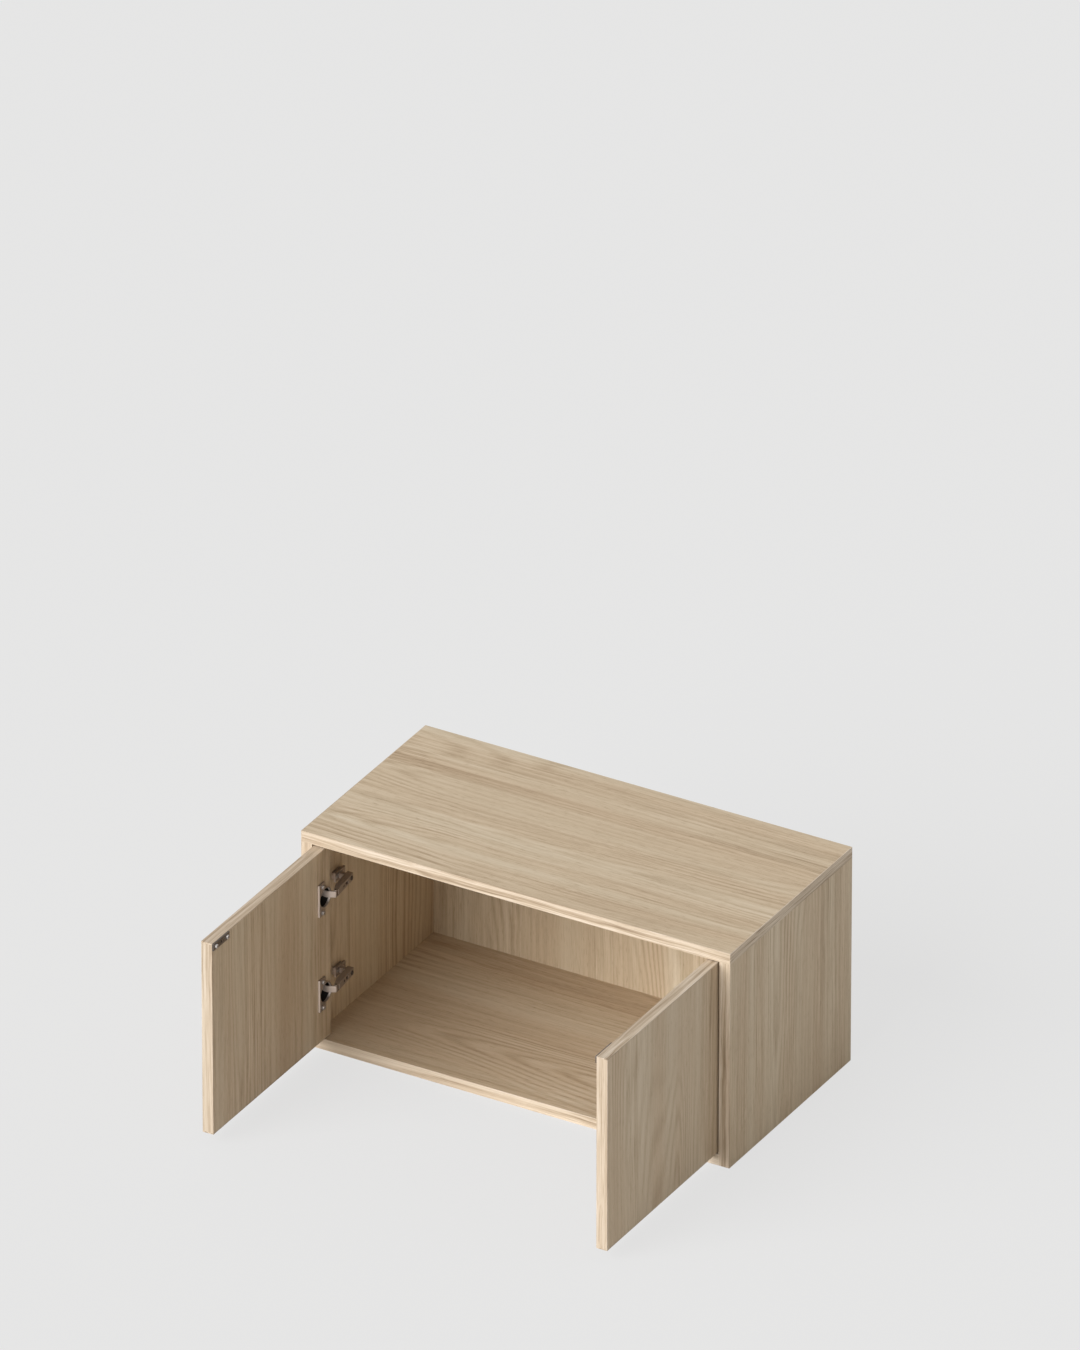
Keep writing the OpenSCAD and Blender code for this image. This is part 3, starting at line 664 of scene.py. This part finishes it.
def model_screw(head_r, head_h, shank_r, length, dome, slotted=False):
    """A screw on the Z axis with the underside of its head at 0, in metres."""
    bpy.ops.object.select_all(action="DESELECT")
    bpy.ops.mesh.primitive_cylinder_add(vertices=40, radius=head_r, depth=head_h,
                                        location=(0, 0, head_h / 2))
    head = bpy.context.object
    bpy.ops.object.transform_apply(location=True, rotation=False, scale=False)
    bpy.ops.object.mode_set(mode="EDIT")
    bpy.ops.mesh.select_all(action="DESELECT")
    bpy.ops.object.mode_set(mode="OBJECT")
    for edge in head.data.edges:
        edge.select = all(head.data.vertices[v].co.z > head_h * 0.9 for v in edge.vertices)
    bpy.ops.object.mode_set(mode="EDIT")
    bpy.ops.mesh.select_mode(type="EDGE")
    bpy.ops.mesh.bevel(offset=dome, segments=4, profile=0.5)
    bpy.ops.object.mode_set(mode="OBJECT")
    if slotted:
        bars = [(1.3 * head_r, 0.26 * head_r)]
    else:
        bars = [(1.15 * head_r, 0.24 * head_r), (0.24 * head_r, 1.15 * head_r)]
    for wide, deep in bars:
        cut_away(head, block_at((0, 0, head_h), (wide, deep, 1.1 * head_h)))
    bpy.ops.object.select_all(action="DESELECT")
    bpy.ops.mesh.primitive_cone_add(vertices=24, radius1=0.35 * shank_r, radius2=shank_r,
                                    depth=0.25 * length, location=(0, 0, -0.875 * length))
    tip = bpy.context.object
    bpy.ops.object.select_all(action="DESELECT")
    bpy.ops.mesh.primitive_cylinder_add(vertices=24, radius=shank_r,
                                        depth=0.75 * length + 0.1 * head_h,
                                        location=(0, 0, -0.375 * length + 0.05 * head_h))
    shank = bpy.context.object
    only(head, shank, tip)
    bpy.ops.object.join()
    bpy.ops.object.transform_apply(location=True, rotation=True, scale=True)
    return head


def set_screws(name, model, places, body, material, slot, node_name):
    """Copies of one screw at (position, outward direction) places, joined to one piece."""
    copies = []
    for position, outward in places:
        copy = bpy.data.objects.new(name, model.data.copy())
        bpy.context.scene.collection.objects.link(copy)
        turn = Vector(outward).to_track_quat("Z", "Y").to_matrix().to_4x4()
        copy.matrix_world = Matrix.Translation(Vector(position) * MM) @ turn
        copies.append(copy)
    bpy.context.view_layer.update()
    only(*copies)
    bpy.ops.object.join()
    dress(copies[0], name, body, material, slot, node_name)


# %% [markdown]
# The places below are in millimetres and for the right-hand hinge side, where X counts from
# the middle outwards. The left side mirrors them. The hinge arm leans, so its screws stand on
# a slope that runs 6 mm inwards over a length of 59 mm.

# %% Places of the screws
HINGE_LEVELS = (111, 289)
FLANGE_FACE, FLANGE_SCREW_Y, FLANGE_SCREW_RISE = 353.5, -211.5, 24
PLATE_FACE, PLATE_SCREW_YS = 373, (-133.75, -118.25)
STRIKE_FACE, STRIKE_MIDDLE_Y, STRIKE_SCREW_REACH, STRIKE_LEVEL = 354.5, -530, 17.25, 371.1
ARM_END_FACE, ARM_END_Y, ARM_LEAN = 350, -119, 6 / 59
ARM_SCREW_Y, ADJUSTING_SCREW_Y = -126, -155
LATCH_OFF, LATCH_MIDDLE_Y, LATCH_SCREW_REACH, LATCH_EAR_FACE = 22, -138, (15.5, 12), 377
BACK_FACE, BACK_SIDE_X, BACK_RIM_Z, BACK_STEP_Z, BACK_STEP_X = 198, 384, (16, 384), 130, 260
MIDDLE_Z = 200


def arm_face(y):
    """How far out the arm's sloping face lies at this depth."""
    return ARM_END_FACE - (ARM_END_Y - y) * ARM_LEAN


# %% Drive the screws home
# Radius and height of the head, radius and length of the shank, and the rounding of the rim.
wood_screw = model_screw(3.8 * MM, 2.4 * MM, 2 * MM, 12.5 * MM, 1.3 * MM)
cup_screw = model_screw(3.8 * MM, 3.6 * MM, 2 * MM, 13.5 * MM, 1.6 * MM)
arm_screw = model_screw(3.8 * MM, 1.4 * MM, 2 * MM, 8.5 * MM, 0.5 * MM)
grub_screw = model_screw(2 * MM, 0.4 * MM, 1.9 * MM, 6 * MM, 0.15 * MM, slotted=True)
small_screw = model_screw(2.8 * MM, 1.2 * MM, 1.5 * MM, 13 * MM, 0.7 * MM)

for side, sign in (("left", 1), ("right", -1)):
    def at(x, y, z):
        """A place given from the middle outwards, on the side being fitted."""
        return (-sign * x, y, z)

    inward, arm_out = (sign, 0, 0), (sign, ARM_LEAN, 0)
    set_screws(side + "_cup_screws_cross", cup_screw,
               [(at(FLANGE_FACE, FLANGE_SCREW_Y, z + s * FLANGE_SCREW_RISE), inward)
                for z in HINGE_LEVELS for s in (-1, 1)],
               side + "_door", screw_metal, "screw_steel", side + "_cup_screws")
    set_screws(side + "_plate_screws_cross", wood_screw,
               [(at(PLATE_FACE, y, z), inward) for z in HINGE_LEVELS for y in PLATE_SCREW_YS],
               "cabinet", screw_metal, "screw_steel", side + "_plate_screws")
    set_screws(side + "_strike_screws_cross", cup_screw,
               [(at(STRIKE_FACE, STRIKE_MIDDLE_Y + s * STRIKE_SCREW_REACH, STRIKE_LEVEL), inward)
                for s in (-1, 1)],
               side + "_door", screw_metal, "screw_steel", side + "_strike_screws")
    set_screws(side + "_arm_screws_cross", arm_screw,
               [(at(arm_face(ARM_SCREW_Y), ARM_SCREW_Y, z), arm_out) for z in HINGE_LEVELS],
               "cabinet", dark_metal, "dark_steel", side + "_arm_screws")
    set_screws(side + "_adjusting_screws_slotted", grub_screw,
               [(at(arm_face(ADJUSTING_SCREW_Y), ADJUSTING_SCREW_Y, z), arm_out)
                for z in HINGE_LEVELS],
               "cabinet", dark_metal, "dark_steel", side + "_adjusting_screws")
    reach_x, reach_y = LATCH_SCREW_REACH
    set_screws(side + "_latch_screws_cross", small_screw,
               [(at(LATCH_OFF + s * reach_x, LATCH_MIDDLE_Y + k * reach_y, LATCH_EAR_FACE),
                 (0, 0, -1)) for s in (-1, 1) for k in (-1, 1)],
               "cabinet", screw_metal, "screw_steel", side + "_latch_screws")

rear = [((x, BACK_FACE, MIDDLE_Z + k * BACK_STEP_Z), (0, 1, 0))
        for x in (-BACK_SIDE_X, BACK_SIDE_X) for k in (-1, 0, 1)]
rear += [((k * BACK_STEP_X, BACK_FACE, z), (0, 1, 0)) for z in BACK_RIM_Z for k in (-1, 0, 1)]
set_screws("back_screws_cross", small_screw, rear,
           "cabinet", screw_metal, "screw_steel", "back_screws")
for model in (wood_screw, cup_screw, arm_screw, grub_screw, small_screw):
    bpy.data.objects.remove(model)
print("screws set")

# %% [markdown]
# ## Latch springs
#
# Behind each latch plunger a small coil spring pushes it out. A coil is a circle of wire
# that is carried round an axis and moved along it at the same time: the Screw modifier does
# exactly that. The wire starts beside the axis, and the modifier adds the turns.

# %% Wind the springs
WIRE_RADIUS, COIL_RADIUS = 0.3 * MM, 2.55 * MM
COIL_RISE, COIL_TURNS = 1.2 * MM, 6

for side in ("left", "right"):
    bpy.ops.object.select_all(action="DESELECT")
    bpy.ops.mesh.primitive_circle_add(vertices=10, radius=WIRE_RADIUS, location=(0, 0, 0))
    spring = bpy.context.object
    bpy.ops.object.mode_set(mode="EDIT")
    bpy.ops.mesh.select_all(action="SELECT")
    bpy.ops.transform.translate(value=(COIL_RADIUS, 0, 0))
    bpy.ops.object.mode_set(mode="OBJECT")
    apply_modifier(spring, "SCREW", axis="Y", angle=2 * pi, screw_offset=COIL_RISE,
                   iterations=COIL_TURNS, steps=24, render_steps=24)
    low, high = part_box(side + "_latch_spring")
    spring.location = ((low.x + high.x) / 2, low.y + 0.35 * MM, (low.z + high.z) / 2)
    dress(spring, side + "_latch_spring_coil", "cabinet", dark_metal, "dark_steel",
          side + "_latch_spring")
print("springs wound")
